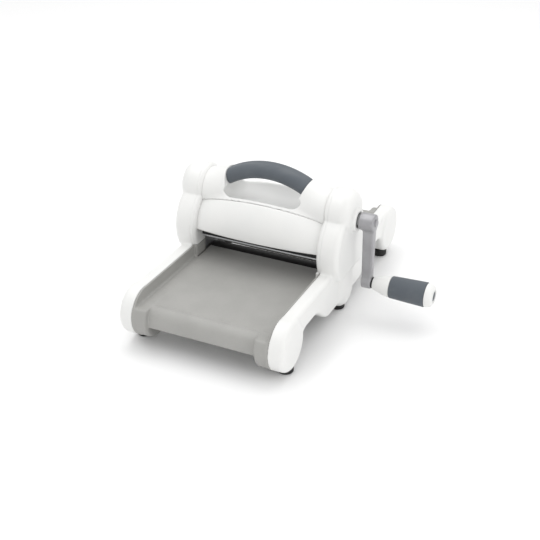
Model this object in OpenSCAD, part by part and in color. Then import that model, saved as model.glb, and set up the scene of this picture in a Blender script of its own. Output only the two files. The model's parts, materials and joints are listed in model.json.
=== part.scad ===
// Hand-cranked roller die cutting machine for paper craft.
// Two white side covers carry a grey tray at the front and at the back. The towers in the middle
// hold two steel rollers, one above the other, and the gears that turn them from the crank.
// Millimetres, +Z up, front of the machine at -Y, crank at +X. The origin is on the table, at the
// middle of the whole outline, crank handle included.

/* [Body] */
// Front to back over the four end lobes
depth = 362; // [350:2:380]
// Middle of the machine to the outer face of each tower
tower_x = 108; // [107:0.5:112]
// Middle of the machine to the seam between white cover and grey tray
seam_x = 82.3; // [82:0.1:84]
// Height of the white rails
rail_z = 64.5; // [62:0.5:66]
// Height of the tray surface that the cutting sandwich slides on
bed_z = 50.5; // [50:0.25:51]
// Thickness of the moulded walls
wall = 2.5; // [2:0.1:3]

/* [Rollers and gears] */
// Radius of both steel rollers
roller_r = 17; // [16:0.5:17.5]
// Space between the two rollers
nip = 19.5; // [18.5:0.25:20]
// Radius of the roller journals
journal_r = 8; // [7:0.5:9]
// Size of the gear teeth
gear_module = 1.75; // [1.7:0.01:1.8]
// Teeth on each roller gear
roller_teeth = 24; // [24]
// Teeth on each of the two idlers between the roller gears
idler_teeth = 10; // [10]
// Teeth on the crank pinion
pinion_teeth = 12; // [12]
// Play between meshing teeth
backlash = 0.35; // [0.25:0.05:0.5]

/* [Crank] */
// Crank shaft to handle spindle
throw = 76; // [70:1:78]
// Outer end of the crank handle, from the middle of the machine
handle_end_x = 204.5; // [200:0.5:210]
// Radius of the soft sleeve on the handle, at its outer end
sleeve_r = 14.4; // [14:0.2:16]

/* [Carry handle] */
// Height of the top of the carry handle
handle_top_z = 167.5; // [166:0.5:172]
// Radius of the arch, to the middle of the grip
arch_r = 98; // [94:1:102]
// Front to back size of the grip
grip_w = 26; // [24:1:28]
// Thickness of the grip
grip_t = 19; // [18:0.5:20]

/* [Hidden] */
$fn = 96;
// The middle of the whole outline lies to the right of the machine's own middle plane.
mid_x = (handle_end_x - tower_x) / 2;
white = [0.93, 0.93, 0.91];
grey = [0.66, 0.66, 0.64];
slate = [0.28, 0.30, 0.32];
steel = [0.72, 0.73, 0.74];
black = [0.08, 0.08, 0.08];

// End lobes, feet and rails
lobe_r = 30;
lobe_y = depth / 2 - lobe_r;
lobe_z = 35;
lobe_x = 98.5;
lobe_in_x = 65;
rail_x = 97;
foot_r = 8.6;
foot_x = 88;
foot_y = lobe_y - 3.6;
arch_z = 38;
arch_fillet = 14;
base_z = 15;
base_y = 46;
base_run = 44;

// Towers
low_lobe_r = 46.5;
low_lobe_z = 84;
low_lobe_x = rail_x + 6;
top_lobe_r = 26.5;
top_lobe_z = 127;
tower_in_x = 77;
edge_r = 9;
column_w = 22;
column_x = tower_x - 5;
column_foot_z = 27;
boss_r = 14;
boss_x = tower_x + 2.5;

// Steel frame
plate_x = 80;
plate_t = 4;
plate_out_x = plate_x + plate_t;
rod_r = 5;
rod_ends = [[-29, 98], [29, 98], [-28, 24.5], [28, 24.5]];
cover_screw_at = [[-33, 86], [33, 86], [-33, 37], [33, 37]];
tray_screw_at = [[70, 44], [118, 44]];
screw_end_x = 90.5;
screw_head_r = 3.4;
slot_half_w = 20;
spacer_at = [[-14, 134], [14, 134], [-15, 110.6], [15, 110.6]];
bearing_x = 94;
bearing_t = 3;
screw_r = 1.75;

// Rollers and gears
fit = 0.05;
low_axis_z = bed_z + 0.5 - roller_r;
top_axis_z = low_axis_z + 2 * roller_r + nip;
gear_r = gear_module * roller_teeth / 2;
idler_r = gear_module * idler_teeth / 2;
pinion_r = gear_module * pinion_teeth / 2;
crank_z = top_axis_z + gear_r + pinion_r;
idler_a_z = (top_axis_z + low_axis_z) / 2 + idler_r;
idler_b_z = (top_axis_z + low_axis_z) / 2 - idler_r;
idler_y = sqrt(pow(gear_r + idler_r, 2) - pow(top_axis_z - idler_a_z, 2));
gear_x = 84.8;
gear_t = 7;
barrel_x = 78;
idler_pin_r = 3;
crank_shaft_r = 7;
key = 3;

// Crank and its handle
spindle_z = crank_z - throw;
hub_x = boss_x + 1.5;
hub_r = 10.8;
hub_len = 18;
arm_top_x0 = hub_x + 4.5;
arm_low_x0 = hub_x + 6;
arm_low_t = 11.5;
arm_w = 10;
spindle_r = 4;
collar_x = arm_low_x0 + arm_low_t + 2.2;
sleeve_x0 = 153;
sleeve_x1 = handle_end_x - 9.5;

// Carry handle
arch_c = handle_top_z - grip_t / 2 - arch_r;
grip_from = -31;
grip_to = 28.5;
root_angle = 47;

// Tray
tray_end_y = 6.7;
tray_front_y = lobe_y + 7;
apron_r = 15.5;
apron_z = 28.8;
throat_y = 43;

// Places a piece drawn around the machine's middle plane in the frame of the whole part.
module in_place() {
    translate([-mid_x, 0, 0]) children();
}

// Extrudes an outline drawn in Y and Z along X, from x0 to x1.
module along_x(x0, x1) {
    translate([x0, 0, 0]) rotate([90, 0, 90]) linear_extrude(x1 - x0) children();
}

// A round bar along X at (y, z).
module bar_x(x0, x1, y, z, r) {
    translate([x0, y, z]) rotate([0, 90, 0]) cylinder(h = x1 - x0, r = r);
}

// A disc along X whose outer edge, at x1, is rounded.
module disc_x(x0, x1, y, z, r, edge) {
    translate([x0, y, z]) rotate([0, 90, 0]) rotate_extrude() {
        square([r - edge, x1 - x0]);
        square([r, x1 - x0 - edge]);
        translate([r - edge, x1 - x0 - edge]) intersection() {
            circle(edge);
            square(edge);
        }
    }
}

module front_and_back() {
    children();
    mirror([0, 1, 0]) children();
}

module both_sides() {
    children();
    mirror([1, 0, 0]) children();
}

// ---- Outlines in Y and Z ----

// Underside of the rail from the arch down to the tower base, as a smooth S.
function base_curve(g) = [
    for (i = [0 : 10]) let (t = i / 10)
        [base_y + base_run * t, base_z + g + (arch_z - base_z) * (1 - cos(180 * t)) / 2]
];

// Round inner corner where the arch runs into the lobe, tangent to both.
fillet_y = lobe_y - sqrt(pow(lobe_r + arch_fillet, 2) - pow(lobe_z - arch_z + arch_fillet, 2));
fillet_end = 180 - asin((lobe_z - arch_z + arch_fillet) / (lobe_r + arch_fillet));
function fillet_curve(g) = [
    for (i = [0 : 6]) let (a = 90 - (fillet_end - 90) * i / 6)
        [fillet_y + (arch_fillet + g) * cos(a), arch_z - arch_fillet + (arch_fillet + g) * sin(a)]
];

// Half of the rail from the tower's middle to the lobe, kept g inside the true outline.
module half_rail(g) {
    polygon(concat([[0, rail_z - g], [0, base_z + g]], base_curve(g), fillet_curve(g),
        [[lobe_y, lobe_z], [lobe_y, rail_z - g]]));
    translate([lobe_y, lobe_z]) circle(lobe_r - g);
}

module rail_outline(g) {
    half_rail(g);
    mirror([1, 0]) half_rail(g);
}

// The two-lobed section that the towers and the middle covers share.
module lobes_outline(g) {
    translate([0, low_lobe_z]) circle(low_lobe_r - g);
    translate([0, top_lobe_z]) circle(top_lobe_r - g);
}

// Everything above the rail, as a window on the lobed section.
module above(z) {
    intersection() {
        children();
        translate([-100, z]) square([200, 200]);
    }
}

// ---- Side covers ----

// The solid shape of one side cover, kept g inside its outer skin, drawn on the right.
module cover_form(g, x0) {
    along_x(x0, rail_x - g) rail_outline(g);
    front_and_back() disc_x(x0, lobe_x - g, lobe_y, lobe_z, lobe_r - g, 3);
    intersection() {
        disc_x(x0, low_lobe_x - g, 0, low_lobe_z, low_lobe_r - g, edge_r);
        translate([0, -60, rail_z - 8]) cube([150, 120, 120]);
    }
    disc_x(x0, tower_x - g, 0, top_lobe_z, top_lobe_r - g, edge_r);
    disc_x(x0, column_x - g, 0, column_foot_z, column_w - g, edge_r);
    translate([0, 0, column_foot_z]) linear_extrude(top_lobe_z - column_foot_z) {
        translate([x0, -column_w + g]) square([column_x - g - edge_r - x0, 2 * (column_w - g)]);
        translate([x0, -column_w + g + edge_r])
            square([column_x - g - x0, 2 * (column_w - g - edge_r)]);
        for (s = [-1, 1])
            translate([column_x - g - edge_r, s * (column_w - g - edge_r)]) circle(edge_r);
    }
}

module foot_places() {
    for (y = [-foot_y, 0, foot_y]) translate([foot_x, y, 0]) children();
}

module side_cover() {
    difference() {
        union() {
            difference() {
                cover_form(0, seam_x);
                cover_form(wall, seam_x - 1);
            }
            // Bosses for the screws from the side plate, from the tray and from the feet
            intersection() {
                cover_form(0, seam_x);
                union() {
                    for (p = cover_screw_at) bar_x(plate_out_x, rail_x, p[0], p[1], 4);
                    front_and_back() for (p = tray_screw_at)
                        bar_x(seam_x, rail_x - 1, p[0], p[1], 4);
                    for (y = [-foot_y, foot_y]) translate([foot_x, y, 0]) cylinder(h = 16, r = 4.5);
                    translate([foot_x, 0, 0]) cylinder(h = 10, r = 4.5);
                }
            }
        }
        // The tower is open towards the steel plate, which lies in it
        along_x(seam_x - 1, plate_out_x) plate_outline(0.5);
        for (p = cover_screw_at) bar_x(plate_out_x - 1, screw_end_x + 0.5, p[0], p[1], screw_r);
        front_and_back() for (p = tray_screw_at)
            bar_x(seam_x - 1, screw_end_x + 0.5, p[0], p[1], screw_r);
        foot_places() cylinder(h = 14, r = screw_r);
    }
}

module left_side_cover() {
    color(white) in_place() mirror([1, 0, 0]) side_cover();
}

module right_side_cover() {
    color(white) in_place() difference() {
        union() {
            side_cover();
            bar_x(tower_x - 1.8, boss_x, 0, crank_z, boss_r);
        }
        bar_x(tower_x - wall - 1, boss_x + 1, 0, crank_z, crank_shaft_r + 1.5);
    }
}

// White panel that closes the inner side of a tower, with the slot that the rollers pass through.
module inner_panel() {
    difference() {
        along_x(tower_in_x, seam_x) above(bed_z + 1) lobes_outline(0);
        along_x(tower_in_x + wall, seam_x + 1) lobes_outline(wall);
        along_x(plate_x, seam_x + 1) plate_outline(0.5);
        along_x(tower_in_x - 1, tower_in_x + wall + 1) {
            translate([-slot_half_w, 0]) square([2 * slot_half_w, top_axis_z]);
            translate([0, top_axis_z]) circle(slot_half_w);
            translate([0, crank_z]) circle(crank_shaft_r + 6);
            for (p = rod_ends) translate(p) circle(rod_r + 0.5);
        }
    }
}

module left_inner_panel() {
    color(white) in_place() mirror([1, 0, 0]) inner_panel();
}

module right_inner_panel() {
    color(white) in_place() inner_panel();
}

// ---- Middle covers ----

panel_gap = 0.4;
middle_x = tower_in_x - panel_gap;
bulge = 5;
bulge_r = (pow(middle_x, 2) + pow(bulge, 2)) / (2 * bulge);
front_r = 46;
front_y = 1.5;
front_z = low_lobe_z + 3;
fascia_low_z = low_lobe_z + 1;
seam_top_z = 127;
seam_rise = 6;
seam_r = (pow(middle_x, 2) + pow(seam_rise, 2)) / (2 * seam_rise);

// The space under the curved seam between a fascia and the top housing.
module under_seam(lift) {
    translate([0, 60, seam_top_z - seam_r + lift]) rotate([90, 0, 0])
        cylinder(h = 120, r = seam_r, $fn = 360);
}

// The bulged front of the middle covers: a round section swept about a far vertical axis.
module bulged_front(g) {
    intersection() {
        translate([0, bulge_r + front_y, 0]) rotate([0, 0, -90 - 9])
            rotate_extrude(angle = 18, $fn = 1440) translate([bulge_r, 0]) intersection() {
                translate([0, front_z]) circle(front_r - g);
                translate([front_y, 0]) square([60, 200]);
            }
        translate([-middle_x, -60, 0]) cube([2 * middle_x, 60, 200]);
    }
}

module fascia() {
    difference() {
        bulged_front(0);
        bulged_front(wall);
        translate([-100, -60, 0]) cube([200, 100, fascia_low_z]);
        translate([-100, -12, 0]) cube([200, 60, 200]);
        difference() {
            translate([-100, -60, 60]) cube([200, 120, 100]);
            under_seam(-panel_gap);
        }
    }
}

module front_fascia() {
    color(white) in_place() fascia();
}

module rear_fascia() {
    color(white) in_place() mirror([0, 1, 0]) fascia();
}

// A stretch of the carry handle's arch, with a rounded section of the given width and thickness.
module arch(from, to, w, t, r) {
    translate([0, 0, arch_c]) rotate([90, 0, 0]) rotate([0, 0, 90 - to])
        rotate_extrude(angle = to - from, $fn = 360) translate([arch_r, 0]) {
            square([t - 2 * r, w], center = true);
            square([t, w - 2 * r], center = true);
            for (i = [-1, 1], j = [-1, 1])
                translate([i * (t / 2 - r), j * (w / 2 - r)]) circle(r);
        }
}

housing_r = 24;
housing_z = 125;
scoop_r = 34.5;
scoop_z = 152.5;
scoop_x = 45;
pan_z = 114;
core_w = 17;
core_t = 11;

// The solid form of the top housing, kept g inside its skin: the upper lobe on the bulged fronts.
module housing_form(g) {
    bar_x(-middle_x + g, middle_x - g, 0, housing_z, housing_r - g);
    front_and_back() bulged_front(g);
    translate([-middle_x + g, -20, 100]) cube([2 * (middle_x - g), 40, 25]);
}

module top_housing() {
    color(white) in_place() {
        difference() {
            housing_form(0);
            difference() {
                housing_form(wall);
                scoop(wall);
            }
            scoop(0);
            // The fascias cover everything under the seam but the pan of the scoop
            difference() {
                under_seam(0);
                bulged_front(wall + panel_gap);
                mirror([0, 1, 0]) bulged_front(wall + panel_gap);
            }
            translate([-100, -100, 0]) cube([200, 200, pan_z]);
        }
        handle_roots();
        arch(grip_from - 1, grip_to + 1, core_w, core_t, 4);
    }
}

// The hand space under the carry handle.
module scoop(g) {
    both_sides() disc_x(-0.01, scoop_x + g, 0, scoop_z, scoop_r + g, 14);
}

// The thick white ends of the arch, which stand on the housing.
module handle_roots() {
    difference() {
        union() {
            arch(-root_angle, grip_from, grip_w, grip_t, 8);
            arch(grip_to, root_angle, grip_w, grip_t, 8);
        }
        bar_x(-middle_x, middle_x, 0, housing_z, housing_r - wall);
        both_sides() translate([middle_x, -50, 0]) cube([50, 100, 200]);
    }
}

module handle_grip() {
    color(slate) in_place() difference() {
        arch(grip_from, grip_to, grip_w, grip_t, 8);
        arch(grip_from - 2, grip_to + 2, core_w, core_t, 4);
        // The ends sit on the housing, on both sides of the scoop
        both_sides() bar_x(scoop_x - 0.1, middle_x, 0, housing_z, housing_r + 0.05);
    }
}

// ---- Trays ----

// The bed with its rolled front edge, drawn in Y and Z with the front at -Y.
module bed_section() {
    difference() {
        union() {
            translate([-tray_front_y, bed_z - 3]) square([tray_front_y - tray_end_y, 3]);
            translate([-tray_front_y, bed_z - apron_r]) circle(apron_r);
            translate([-tray_front_y - apron_r, apron_z])
                square([apron_r, bed_z - apron_r - apron_z]);
        }
        translate([-tray_front_y, bed_z - apron_r]) circle(apron_r - 3);
        translate([-tray_front_y - apron_r + 3, 0]) square([apron_r * 3, bed_z - apron_r]);
        translate([-tray_front_y, bed_z - 2 * apron_r]) square([apron_r * 2, 2 * apron_r - 3]);
    }
}

// The inner half of a front lobe, below the bed's surface, kept g inside its skin.
module lobe_half(x0, x1, g) {
    along_x(x0, x1) translate([-lobe_y, lobe_z]) intersection() {
        circle(lobe_r - g);
        translate([-lobe_r, -lobe_r]) square([2 * lobe_r, lobe_r + bed_z - lobe_z - g]);
    }
}

module tray() {
    difference() {
        union() {
            along_x(-seam_x, seam_x) bed_section();
            // Side walls, which stand above the bed and hang below it
            both_sides() along_x(plate_x, seam_x) intersection() {
                rail_outline(0);
                union() {
                    translate([-depth / 2, 30]) square([depth / 2 - throat_y, 40]);
                    translate([-depth / 2, 0]) square([depth / 2 - 118, 40]);
                }
            }
            // Grey inner halves of the front lobes, cut level with the bed
            both_sides() difference() {
                lobe_half(lobe_in_x, plate_x, 0);
                lobe_half(lobe_in_x + wall, plate_x + 1, wall);
            }
        }
        // Room for the lower roller and for the towers
        bar_x(-100, 100, 0, low_axis_z, roller_r + 0.8);
        both_sides() translate([tower_in_x - 0.5, -throat_y, 0]) cube([20, 2 * throat_y, 100]);
        both_sides() for (p = tray_screw_at)
            bar_x(plate_x - 1, seam_x + 1, -p[0], p[1], screw_r);
    }
}

module front_tray() {
    color(grey) in_place() tray();
}

module rear_tray() {
    color(grey) in_place() mirror([0, 1, 0]) tray();
}

// ---- Steel frame ----

module plate_outline(g) {
    translate([-36 - g, 17 - g]) square([72 + 2 * g, 82 + 2 * g]);
    translate([0, top_lobe_z]) circle(21 + g);
    translate([-21 - g, 90]) square([42 + 2 * g, top_lobe_z - 90]);
    for (s = [-1, 1]) translate([s * 28, 99]) circle(8 + g);
}

module side_plate(with_crank) {
    difference() {
        along_x(plate_x, plate_out_x) plate_outline(0);
        for (z = [low_axis_z, top_axis_z])
            bar_x(plate_x - 1, plate_out_x + 1, 0, z, journal_r + 3);
        for (p = rod_ends) bar_x(plate_x - 1, plate_out_x + 1, p[0], p[1], 3);
        for (p = cover_screw_at) {
            bar_x(plate_x - 1, plate_out_x + 1, p[0], p[1], screw_r);
            translate([plate_x, p[0], p[1]]) rotate([0, 90, 0])
                cylinder(h = 2, r1 = 3.6, r2 = screw_r);
        }
        if (with_crank) {
            bar_x(plate_x - 1, plate_out_x + 1, 0, crank_z, crank_shaft_r + 3);
            for (z = [idler_a_z, idler_b_z])
                bar_x(plate_x - 1, plate_out_x + 1, idler_y, z, idler_pin_r);
            for (p = spacer_at) bar_x(plate_x - 1, plate_out_x + 1, p[0], p[1], 2);
        }
    }
}

module left_side_plate() {
    color(steel) in_place() mirror([1, 0, 0]) side_plate(false);
}

module right_side_plate() {
    color(steel) in_place() side_plate(true);
}

module tie_rods() {
    color(steel) in_place() for (p = rod_ends) {
        bar_x(-plate_x, plate_x, p[0], p[1], rod_r);
        both_sides() bar_x(plate_x, plate_out_x + 5.5, p[0], p[1], 3);
    }
}

module tie_rod_nuts() {
    color(steel) in_place() both_sides() for (p = rod_ends) difference() {
        translate([plate_out_x, p[0], p[1]]) rotate([0, 90, 0]) cylinder(h = 4, r = 5.5, $fn = 6);
        bar_x(plate_x, plate_out_x + 10, p[0], p[1], 3);
    }
}

// Dark guards in front of and behind the upper roller, with a bright steel strip along the foot.
guard_y = 27;
guard_z = 73.2;
guard_top_z = 90;
guard_t = 1.6;

module roller_guards() {
    color(black) in_place() front_and_back()
        translate([-tower_in_x, -guard_y, guard_z])
            cube([2 * tower_in_x, guard_t, guard_top_z - guard_z]);
}

module guard_strips() {
    color(steel) in_place() front_and_back() difference() {
        bar_x(-tower_in_x, tower_in_x, -guard_y + guard_t / 2, guard_z - 0.4, 1.6);
        translate([-100, -guard_y, guard_z]) cube([200, guard_t, 10]);
    }
}

module crank_bearing_plate() {
    color(steel) in_place() difference() {
        along_x(bearing_x, bearing_x + bearing_t)
            polygon([[-14, 139], [14, 139], [18.4, 135], [19.3, 112], [19.3, 109], [15, 106],
                [-15, 106], [-19.3, 109], [-19.3, 112], [-18.4, 135]]);
        bar_x(bearing_x - 1, bearing_x + bearing_t + 1, 0, crank_z, crank_shaft_r + 3);
        for (p = spacer_at) {
            bar_x(bearing_x - 1, bearing_x + bearing_t + 1, p[0], p[1], 2);
            spacer_screw_head(p);
        }
    }
}

module plate_spacers() {
    color(steel) in_place() for (p = spacer_at) difference() {
        bar_x(plate_out_x, bearing_x, p[0], p[1], 3.8);
        bar_x(plate_out_x - 1, bearing_x + 1, p[0], p[1], 2);
    }
}

module bearing_plate_screws() {
    color(steel) in_place() for (p = spacer_at) {
        bar_x(plate_x, bearing_x + bearing_t - 1.6, p[0], p[1], 2);
        spacer_screw_head(p);
    }
}

// Countersunk, flush with the plate, because the cover is close to it.
module spacer_screw_head(p) {
    translate([bearing_x + bearing_t - 1.6, p[0], p[1]]) rotate([0, 90, 0])
        cylinder(h = 1.6, r1 = 2, r2 = 3.6);
}

module cover_screws() {
    color(steel) in_place() both_sides() for (p = cover_screw_at) {
        translate([plate_x, p[0], p[1]]) rotate([0, 90, 0]) cylinder(h = 2, r1 = 3.6, r2 = screw_r);
        bar_x(plate_x + 2, screw_end_x, p[0], p[1], screw_r);
    }
}

module tray_screws() {
    color(steel) in_place() both_sides() front_and_back() for (p = tray_screw_at) {
        bar_x(plate_x, screw_end_x, p[0], p[1], screw_r);
        bar_x(plate_x - 2.2, plate_x, p[0], p[1], screw_head_r);
    }
}

// ---- Feet ----

module rubber_feet() {
    color(black) in_place() both_sides() difference() {
        foot_places() difference() {
            cylinder(h = 9, r = foot_r);
            cylinder(h = 10, r = screw_r);
            cylinder(h = 2.4, r = screw_head_r);
        }
        front_and_back() bar_x(60, 110, lobe_y, lobe_z, lobe_r);
        bar_x(60, 110, 0, column_foot_z, column_w);
    }
}

module foot_screws() {
    color(steel) in_place() both_sides() for (y = [-foot_y, 0, foot_y])
        translate([foot_x, y, 0]) {
            translate([0, 0, 0.6]) cylinder(h = 1.8, r = screw_head_r);
            cylinder(h = y == 0 ? 9.5 : 13.5, r = screw_r);
        }
}

// ---- Bearings ----

module bushing(x, z, bore_r, length) {
    difference() {
        union() {
            bar_x(x, x + length, 0, z, bore_r + 3);
            bar_x(x - 1.2, x, 0, z, bore_r + 5);
        }
        bar_x(x - 3, x + length + 1, 0, z, bore_r + fit);
    }
}

module roller_bushings() {
    color([0.72, 0.55, 0.30]) in_place() both_sides() for (z = [low_axis_z, top_axis_z])
        bushing(plate_x, z, journal_r, plate_t);
}

module crank_bushings() {
    color([0.72, 0.55, 0.30]) in_place() {
        bushing(plate_x, crank_z, crank_shaft_r, plate_t);
        bushing(bearing_x, crank_z, crank_shaft_r, bearing_t);
    }
}

module idler_pins() {
    color(steel) in_place() for (z = [idler_a_z, idler_b_z])
        difference() {
            bar_x(plate_x, gear_x + gear_t + 1.8, idler_y, z, idler_pin_r);
            ring_groove(gear_x + gear_t + 0.4, idler_y, z, idler_pin_r);
        }
}

module idler_rings() {
    color(steel) in_place() for (z = [idler_a_z, idler_b_z])
        ring(gear_x + gear_t + 0.4, idler_y, z, idler_pin_r);
}

// Retaining rings are 1 mm thick, and sit in a groove 0.8 mm deep.
module ring(x, y, z, shaft_r) {
    difference() {
        bar_x(x, x + 1, y, z, shaft_r + 2.2);
        bar_x(x - 1, x + 2, y, z, shaft_r - 0.8);
        translate([x - 1, y - shaft_r * 0.55, z - 20]) cube([3, shaft_r * 1.1, 20]);
    }
}

module ring_groove(x, y, z, shaft_r) {
    difference() {
        bar_x(x, x + 1, y, z, shaft_r + 1);
        bar_x(x - 1, x + 2, y, z, shaft_r - 0.8);
    }
}

// ---- Gears ----

pressure = 25;
addendum = 0.8 * gear_module;
dedendum = 1.08 * gear_module;
function roll(r, base) = sqrt(pow(r / base, 2) - 1) * 180 / PI;
function inv(r, base) = roll(r, base) - acos(base / r);

// Half the angle of a tooth at radius r, thinned for the backlash.
function half_tooth(r, pitch, base) =
    45 * gear_module / pitch - backlash / 4 / pitch * 180 / PI
    + inv(pitch, base) - (r > base ? inv(r, base) : 0);

module gear_outline(teeth, phase) {
    pitch = gear_module * teeth / 2;
    base = pitch * cos(pressure);
    root = pitch - dedendum;
    tip = pitch + addendum;
    radii = [root, max(base, root + 0.1), pitch - addendum * 0.3, pitch + addendum * 0.35, tip];
    polygon([for (i = [0 : teeth - 1], s = [-1, 1], k = [0 : 4])
        let (r = s < 0 ? radii[k] : radii[4 - k],
             a = phase + 360 * i / teeth + s * half_tooth(r, pitch, base))
        [r * cos(a), r * sin(a)]]);
}

// Where a tooth of the second gear stands, so that it meshes with the first.
function mesh(phase, teeth, direction, other) =
    direction + 180 + 180 / other - (phase - direction) * teeth / other;

to_idler_a = atan2(idler_a_z - top_axis_z, idler_y);
to_lower = atan2(low_axis_z - idler_b_z, -idler_y);
upper_phase = 0;
pinion_phase = mesh(upper_phase, roller_teeth, 90, pinion_teeth);
idler_a_phase = mesh(upper_phase, roller_teeth, to_idler_a, idler_teeth);
idler_b_phase = mesh(idler_a_phase, idler_teeth, -90, idler_teeth);
lower_phase = mesh(idler_b_phase, idler_teeth, to_lower, roller_teeth);

module gear(y, z, teeth, phase, bore_r) {
    difference() {
        along_x(gear_x, gear_x + gear_t) translate([y, z]) gear_outline(teeth, phase);
        bar_x(gear_x - 1, gear_x + gear_t + 1, y, z, bore_r);
    }
}

// Roller gears are lightened by a ring of holes.
module roller_gear(z, phase) {
    difference() {
        gear(0, z, roller_teeth, phase, journal_r);
        for (a = [0 : 60 : 300])
            bar_x(gear_x - 1, gear_x + gear_t + 1, 14 * cos(a), z + 14 * sin(a), 2.5);
        shaft_key(z, journal_r);
    }
}

// A square key, half in the shaft and half in the gear.
module shaft_key(z, shaft_r) {
    translate([gear_x, -key / 2, z + shaft_r - key / 2]) cube([gear_t, key, key]);
}

// ---- Rollers ----

module roller(z) {
    difference() {
        union() {
            bar_x(-barrel_x, barrel_x, 0, z, roller_r);
            bar_x(-plate_out_x - 3, gear_x + gear_t + 2, 0, z, journal_r);
        }
        bar_x(-barrel_x + 8, barrel_x - 8, 0, z, roller_r - 4);
        shaft_key(z, journal_r);
        mirror([1, 0, 0]) ring_groove(plate_out_x + 0.4, 0, z, journal_r);
        ring_groove(gear_x + gear_t, 0, z, journal_r);
    }
}

module roller_rings(z) {
    mirror([1, 0, 0]) ring(plate_out_x + 0.4, 0, z, journal_r);
    ring(gear_x + gear_t, 0, z, journal_r);
}

module upper_roller() {
    color(steel) in_place() roller(top_axis_z);
}

module upper_roller_gear() {
    color(steel) in_place() roller_gear(top_axis_z, upper_phase);
}

module upper_gear_key() {
    color(steel) in_place() shaft_key(top_axis_z, journal_r);
}

module upper_roller_rings() {
    color(steel) in_place() roller_rings(top_axis_z);
}

module lower_roller() {
    color(steel) in_place() roller(low_axis_z);
}

module lower_roller_gear() {
    color(steel) in_place() roller_gear(low_axis_z, lower_phase);
}

module lower_gear_key() {
    color(steel) in_place() shaft_key(low_axis_z, journal_r);
}

module lower_roller_rings() {
    color(steel) in_place() roller_rings(low_axis_z);
}

module idler_gear_a() {
    color(steel) in_place()
        gear(idler_y, idler_a_z, idler_teeth, idler_a_phase, idler_pin_r + fit);
}

module idler_gear_b() {
    color(steel) in_place()
        gear(idler_y, idler_b_z, idler_teeth, idler_b_phase, idler_pin_r + fit);
}

// ---- Crank ----

pinion_key = 2;

module crank_key_form() {
    translate([gear_x, -pinion_key / 2, crank_z + crank_shaft_r - 1])
        cube([gear_t, pinion_key, pinion_key]);
}

module crank_shaft() {
    color(steel) in_place() difference() {
        bar_x(plate_x - 1.2, hub_x + hub_len - 2, 0, crank_z, crank_shaft_r);
        crank_key_form();
        ring_groove(bearing_x + bearing_t + 0.4, 0, crank_z, crank_shaft_r);
        bar_x(hub_x + hub_len - 10, hub_x + hub_len, 0, crank_z, 2.5);
    }
}

module crank_pinion() {
    color(steel) in_place() difference() {
        gear(0, crank_z, pinion_teeth, pinion_phase, crank_shaft_r);
        crank_key_form();
    }
}

module crank_pinion_key() {
    color(steel) in_place() crank_key_form();
}

module crank_shaft_ring() {
    color(steel) in_place() ring(bearing_x + bearing_t + 0.4, 0, crank_z, crank_shaft_r);
}

// Die-cast arm: a round hub, a thick tapered bar hanging from it and a boss for the spindle.
module crank_arm() {
    color([0.62, 0.63, 0.64]) in_place() difference() {
        union() {
            disc_x(hub_x, hub_x + hub_len, 0, crank_z, hub_r, 1.5);
            translate([0, arm_w / 2, 0]) rotate([90, 0, 0]) linear_extrude(arm_w)
                polygon([[arm_top_x0, crank_z], [hub_x + hub_len - 0.5, crank_z],
                    [arm_low_x0 + arm_low_t, spindle_z], [arm_low_x0, spindle_z]]);
            bar_x(arm_low_x0, arm_low_x0 + arm_low_t, 0, spindle_z, 7.5);
        }
        bar_x(hub_x - 1, hub_x + hub_len - 2, 0, crank_z, crank_shaft_r);
        bar_x(hub_x, hub_x + hub_len + 1, 0, crank_z, 2.5);
        bar_x(arm_low_x0 - 1, arm_low_x0 + arm_low_t + 1, 0, spindle_z, spindle_r);
    }
}

module crank_hub_cap() {
    color(steel) in_place() {
        bar_x(hub_x + hub_len - 10, hub_x + hub_len, 0, crank_z, 2.5);
        disc_x(hub_x + hub_len, hub_x + hub_len + 2, 0, crank_z, 4.5, 1);
    }
}

module handle_spindle() {
    color(steel) in_place() {
        bar_x(arm_low_x0, sleeve_x1 + 5.2, 0, spindle_z, spindle_r);
    }
}

module handle_washer() {
    color(black) in_place() difference() {
        bar_x(arm_low_x0 + arm_low_t, collar_x - 0.4, 0, spindle_z, 6.6);
        bar_x(arm_low_x0, collar_x, 0, spindle_z, spindle_r);
    }
}

module spindle_nut() {
    color(steel) in_place() difference() {
        translate([sleeve_x1 + 1, 0, spindle_z]) rotate([0, 90, 0])
            cylinder(h = 3.8, r = 7, $fn = 6);
        bar_x(sleeve_x1, sleeve_x1 + 10, 0, spindle_z, spindle_r);
    }
}

// ---- Crank handle, which spins on its spindle ----

core_r = 10;
sleeve_r0 = sleeve_r - 1.5;

module handle_collar() {
    color(white) in_place() difference() {
        union() {
            translate([collar_x, 0, spindle_z]) rotate([0, 90, 0])
                cylinder(h = sleeve_x0 - collar_x, r1 = 7.6, r2 = sleeve_r0 - 0.4);
            bar_x(sleeve_x0, sleeve_x1, 0, spindle_z, core_r);
        }
        bar_x(collar_x - 1, sleeve_x1 + 1, 0, spindle_z, spindle_r + fit);
    }
}

module handle_sleeve() {
    color(slate) in_place() difference() {
        translate([sleeve_x0, 0, spindle_z]) rotate([0, 90, 0])
            cylinder(h = sleeve_x1 - sleeve_x0, r1 = sleeve_r0, r2 = sleeve_r);
        bar_x(sleeve_x0 - 1, sleeve_x1 + 1, 0, spindle_z, core_r);
    }
}

module handle_end_cap() {
    color(white) in_place() difference() {
        disc_x(sleeve_x1, handle_end_x, 0, spindle_z, sleeve_r - 0.3, 7.5);
        bar_x(sleeve_x1 - 1, sleeve_x1 + 5.6, 0, spindle_z, 8.5);
        bar_x(handle_end_x - 3, handle_end_x + 1, 0, spindle_z, 5.8);
    }
}

module handle_end_plug() {
    color(slate) in_place() bar_x(handle_end_x - 3, handle_end_x - 0.4, 0, spindle_z, 5.8);
}

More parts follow.
